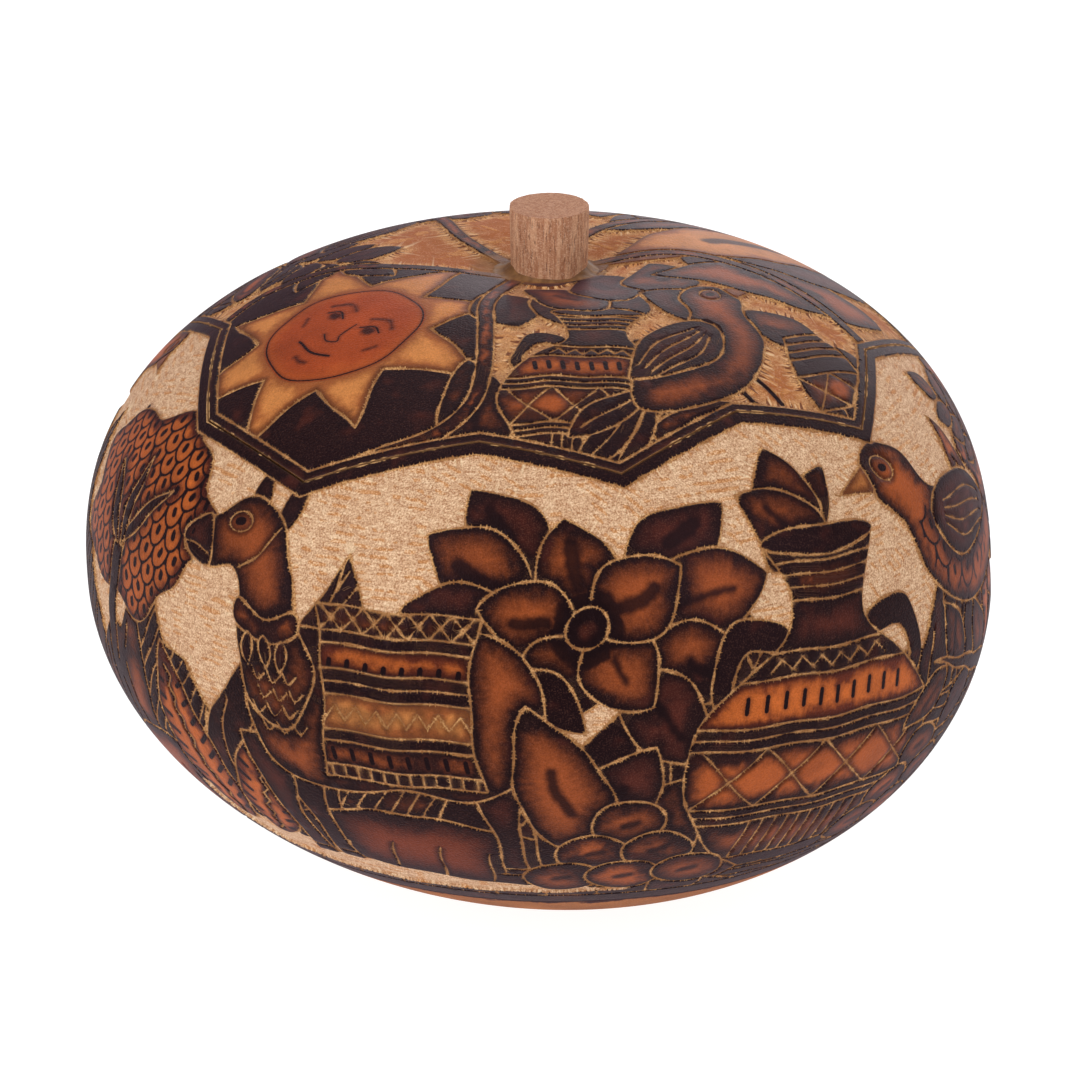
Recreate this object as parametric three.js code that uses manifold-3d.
// Carved gourd box: a squat dried gourd cut into a base and a lid along a hand-sawn star line.
// A wooden dowel glued into the stem end is the lid's knob. The star teeth key the lid to the base,
// so the lid lifts straight up and can't turn while it is seated.
// Millimetres, +Z up. The origin is the centre of the footprint, on the table.
import * as THREE from "three";
import { mergeVertices } from "three/addons/utils/BufferGeometryUtils.js";
import Module from "manifold-3d";

const wasm = await Module();
wasm.setup();

// Body of the gourd
const BODY_RADIUS = 74.3; // at the widest level
const CROWN_HEIGHT = 55.6; // widest level to the top of the unpressed crown
const CROWN_SQUARENESS = 0.81; // under 1 flattens the crown
const BELLY_DEPTH = 52.8; // widest level to the round bottom, before sanding
const BELLY_SQUARENESS = 1.01;
const WALL = 4.2; // dried shell thickness
const STEM_HOLLOW_DEPTH = 6; // the crown sinks in round the stem scar
const STEM_HOLLOW_RADIUS = 21;
const FOOT_SANDED = 1.8; // taken off the round bottom so that it stands
const SCAR_RADIUS = 6; // blossom scar in the middle of the foot
const SCAR_DEPTH = 0.5;

// The gourd grew a little crooked: its middle line bows sideways towards +X above and below the widest level.
const BOW_AT_CROWN = 1.5; // sideways shift at the crown's height
const BOW_AT_FOOT = 5.9; // sideways shift at the belly's depth

// Star seam: [azimuth in degrees, distance in from the widest radius], corner by corner as sawn.
// Small distances are the teeth that point down the side, large ones the notches between them.
const SEAM_CORNERS = [
  [-172.5, 22.4],
  [-148.2, 13.7],
  [-124.2, 11.1],
  [-99.8, 19.2],
  [-78.2, 14.7],
  [-56.2, 21.1],
  [-35.2, 13.4],
  [-15.8, 21],
  [7, 12.2],
  [28, 20.3],
  [47, 13.2],
  [67, 20.8],
  [86, 12.4],
  [106, 19.6],
  [126, 12.9],
  [146, 21],
  [167, 15],
];
const SAW_KERF = 0.5; // gap between lid and base along the seam
const SAW_APEX_DEPTH = 30; // every saw cut aims at this point below the widest level

// Knob: a short length of dowel in a drilled hole
const DOWEL_TOP_RADIUS = 6.5;
const DOWEL_FOOT_RADIUS = 6.15;
const DOWEL_STANDS = 11.6; // above the stem hollow
const DOWEL_OFFSET = 0.6; // the drilled hole is this far towards +X of the middle line
const DOWEL_INSIDE = 1.2; // past the lid's inner face
const DOWEL_EDGE_BREAK = 0.35;
const HOLE_CLEARANCE = 0.3;
const GLUE_WIDTH = 3.2; // bead of dried glue round the dowel's foot
const GLUE_RISE = 2.6;
const GLUE_SEAT_GAP = 0.3;

// Facets
const AROUND = 48;
const OUTER_STEPS = 30;
const INNER_STEPS = 22;
const DOWEL_SIDES = 32;

const EQUATOR = BELLY_DEPTH - FOOT_SANDED; // height of the widest level above the table
const rad = THREE.MathUtils.degToRad;

// Height of the crown above the widest level, at a radius from the middle line.
function crownHeight(radius) {
  const share = Math.sqrt(Math.max(0, 1 - (radius / BODY_RADIUS) ** 2));
  const hollow = STEM_HOLLOW_DEPTH * Math.exp(-((radius / STEM_HOLLOW_RADIUS) ** 2));
  return CROWN_HEIGHT * share ** CROWN_SQUARENESS - hollow;
}

// Depth of the round belly below the widest level, before the foot is sanded flat.
function bellyDepth(radius) {
  const share = Math.sqrt(Math.max(0, 1 - (radius / BODY_RADIUS) ** 2));
  return BELLY_DEPTH * share ** BELLY_SQUARENESS;
}

// Sideways shift of the middle line at a height above the widest level: zero there, growing both ways.
function bow(height) {
  const up = BOW_AT_CROWN / CROWN_HEIGHT;
  const down = BOW_AT_FOOT / BELLY_DEPTH;
  const curve = (up + down) / (CROWN_HEIGHT + BELLY_DEPTH);
  const slope = up - curve * CROWN_HEIGHT;
  return slope * height + curve * height * height;
}

// The skin's profile from the stem hollow down to the round bottom, as (radius, height above the widest level).
function skinProfile(steps) {
  const points = [];
  for (let i = 0; i <= steps; i++) {
    const angle = (Math.PI * i) / steps;
    const radius = i === 0 || i === steps ? 0 : BODY_RADIUS * Math.sin(angle);
    const height = angle <= Math.PI / 2 ? crownHeight(radius) : -bellyDepth(radius);
    points.push(new THREE.Vector2(radius, height));
  }
  return points;
}

// The same profile moved inwards by the wall, for the hollow.
function hollowProfile(steps) {
  const skin = skinProfile(steps);
  return skin.map((point, i) => {
    if (i === 0) return new THREE.Vector2(0, point.y - WALL);
    if (i === steps) return new THREE.Vector2(0, point.y + WALL);
    const along = skin[i + 1].clone().sub(skin[i - 1]).normalize();
    return new THREE.Vector2(point.x + along.y * WALL, point.y - along.x * WALL);
  });
}

// A closed three.js geometry as a manifold solid.
function solid(geometry) {
  const bare = geometry.clone();
  bare.deleteAttribute("normal");
  bare.deleteAttribute("uv");
  const merged = mergeVertices(bare, 1e-4);
  return new wasm.Manifold(
    new wasm.Mesh({
      numProp: 3,
      vertProperties: merged.attributes.position.array,
      triVerts: new Uint32Array(merged.index.array),
    }),
  );
}

// A manifold solid back as a geometry.
function geometryOf(manifold) {
  const mesh = manifold.getMesh();
  const geometry = new THREE.BufferGeometry();
  geometry.setAttribute("position", new THREE.BufferAttribute(mesh.vertProperties, 3));
  geometry.setIndex(new THREE.BufferAttribute(mesh.triVerts, 1));
  geometry.computeVertexNormals();
  return geometry;
}

// A profile turned round the upright middle line. Its points run from top to bottom.
function turned(profile, sides) {
  const lathe = new THREE.LatheGeometry([...profile].reverse(), sides);
  return lathe.rotateX(Math.PI / 2);
}

// Shifts every point sideways as the gourd's middle line bows, and lifts the widest level to its height.
function grown(geometry) {
  const place = geometry.attributes.position;
  for (let i = 0; i < place.count; i++) {
    const height = place.getZ(i);
    place.setXYZ(i, place.getX(i) + bow(height), place.getY(i), height + EQUATOR);
  }
  return geometry;
}

// The whole hollow gourd with its sanded foot and blossom scar, before it is sawn.
function wholeGourd() {
  const skin = solid(grown(turned(skinProfile(OUTER_STEPS), AROUND)));
  const hollow = solid(grown(turned(hollowProfile(INNER_STEPS), AROUND)));
  const table = new THREE.BoxGeometry(3 * BODY_RADIUS, 3 * BODY_RADIUS, 2 * FOOT_SANDED);
  table.translate(0, 0, -FOOT_SANDED);
  const scar = new THREE.SphereGeometry(SCAR_RADIUS, 24, 12);
  scar.scale(1, 1, SCAR_DEPTH / SCAR_RADIUS).translate(bow(-BELLY_DEPTH), 0, 0);
  return skin.subtract(hollow).subtract(solid(table)).subtract(solid(scar));
}

// The star pyramid whose sides are the saw cuts, with its tip raised or lowered by lift.
function sawStar(lift) {
  const reach = 2; // how far past the skin the cuts run
  const tip = new THREE.Vector3(bow(-SAW_APEX_DEPTH), 0, EQUATOR - SAW_APEX_DEPTH);
  const sides = SEAM_CORNERS.length;
  const cone = new THREE.ConeGeometry(1, 1, sides, 1, false);
  const rim = SEAM_CORNERS.map(([azimuth, inset]) => {
    const radius = BODY_RADIUS - inset;
    const height = crownHeight(radius);
    const onSkin = new THREE.Vector3(
      radius * Math.cos(rad(azimuth)) + bow(height),
      radius * Math.sin(rad(azimuth)),
      height + EQUATOR,
    );
    return onSkin.sub(tip).multiplyScalar(reach).add(tip);
  });
  const cap = rim.reduce((sum, corner) => sum.add(corner), new THREE.Vector3()).divideScalar(sides);
  const place = cone.attributes.position;
  for (let i = 0; i < place.count; i++) {
    const [x, y, z] = [place.getX(i), place.getY(i), place.getZ(i)];
    const onAxis = Math.hypot(x, z) < 1e-6;
    // The cone's corner k stands at the angle 2 pi k / sides from +Z towards +X.
    const k = Math.round((Math.atan2(x, z) / (2 * Math.PI)) * sides + sides) % sides;
    const target = onAxis ? (y > 0 ? cap : tip) : rim[k];
    place.setXYZ(i, target.x, target.y, target.z + lift);
  }
  return solid(cone);
}

// Height of the stem hollow's middle above the table, where the dowel stands.
const STEM_LEVEL = EQUATOR + crownHeight(0);
const STEM_X = bow(crownHeight(0)) + DOWEL_OFFSET;

// The dowel's hole, drilled down through the lid.
function dowelHole() {
  const radius = DOWEL_FOOT_RADIUS + HOLE_CLEARANCE;
  const depth = 4 * WALL;
  const drill = new THREE.CylinderGeometry(radius, radius, depth, DOWEL_SIDES);
  return solid(drill.rotateX(Math.PI / 2).translate(STEM_X, 0, STEM_LEVEL));
}

// The dowel, a little wider at its top than at its foot, with the sawn edges just broken.
function dowelGeometry() {
  const top = STEM_LEVEL + DOWEL_STANDS;
  const foot = STEM_LEVEL - WALL - DOWEL_INSIDE;
  const profile = [
    new THREE.Vector2(0, top),
    new THREE.Vector2(DOWEL_TOP_RADIUS - DOWEL_EDGE_BREAK, top),
    new THREE.Vector2(DOWEL_TOP_RADIUS, top - DOWEL_EDGE_BREAK),
    new THREE.Vector2(DOWEL_FOOT_RADIUS, STEM_LEVEL + GLUE_RISE),
    new THREE.Vector2(DOWEL_FOOT_RADIUS, foot + DOWEL_EDGE_BREAK),
    new THREE.Vector2(DOWEL_FOOT_RADIUS - DOWEL_EDGE_BREAK, foot),
    new THREE.Vector2(0, foot),
  ];
  return turned(profile, DOWEL_SIDES).translate(STEM_X, 0, 0);
}

// The glue bead: a ring with a hollow outer face, lying in the stem hollow against the dowel.
function glueGeometry() {
  const inside = DOWEL_FOOT_RADIUS + GLUE_SEAT_GAP;
  const outside = inside + GLUE_WIDTH;
  const seat = (radius) => EQUATOR + crownHeight(radius) + GLUE_SEAT_GAP;
  const steps = 6;
  const face = [];
  for (let i = 0; i <= steps; i++) {
    const share = i / steps;
    const radius = inside + GLUE_WIDTH * (0.15 + 0.85 * share);
    const rise = GLUE_RISE * (1 - share) ** 2 + 0.25;
    face.push(new THREE.Vector2(radius, seat(radius) + rise));
  }
  const under = [];
  for (let i = 0; i <= steps; i++) {
    const radius = outside - (GLUE_WIDTH * i) / steps;
    under.push(new THREE.Vector2(radius, seat(radius)));
  }
  const top = new THREE.Vector2(inside, face[0].y);
  const ring = [top, ...face, ...under, top];
  return turned(ring, DOWEL_SIDES).translate(STEM_X, 0, 0);
}

function material(color, roughness) {
  return new THREE.MeshStandardMaterial({ color, roughness, metalness: 0 });
}

function piece(name, geometry, look) {
  const mesh = new THREE.Mesh(geometry, look);
  mesh.name = name;
  return mesh;
}

const carvedRind = material(0x5a3220, 0.45);
const bareWood = material(0xb07a5c, 0.8);
const driedGlue = material(0x8a6a3c, 0.4);

const gourd = wholeGourd();
const base = gourd.subtract(sawStar(-SAW_KERF / 2));
const lid = gourd.intersect(sawStar(SAW_KERF / 2)).subtract(dowelHole());

const box = new THREE.Group();
box.add(
  piece("gourd_base", geometryOf(base), carvedRind),
  piece("gourd_lid", geometryOf(lid), carvedRind),
  piece("knob_dowel", dowelGeometry(), bareWood),
  piece("glue_bead", glueGeometry(), driedGlue),
);

export default box;
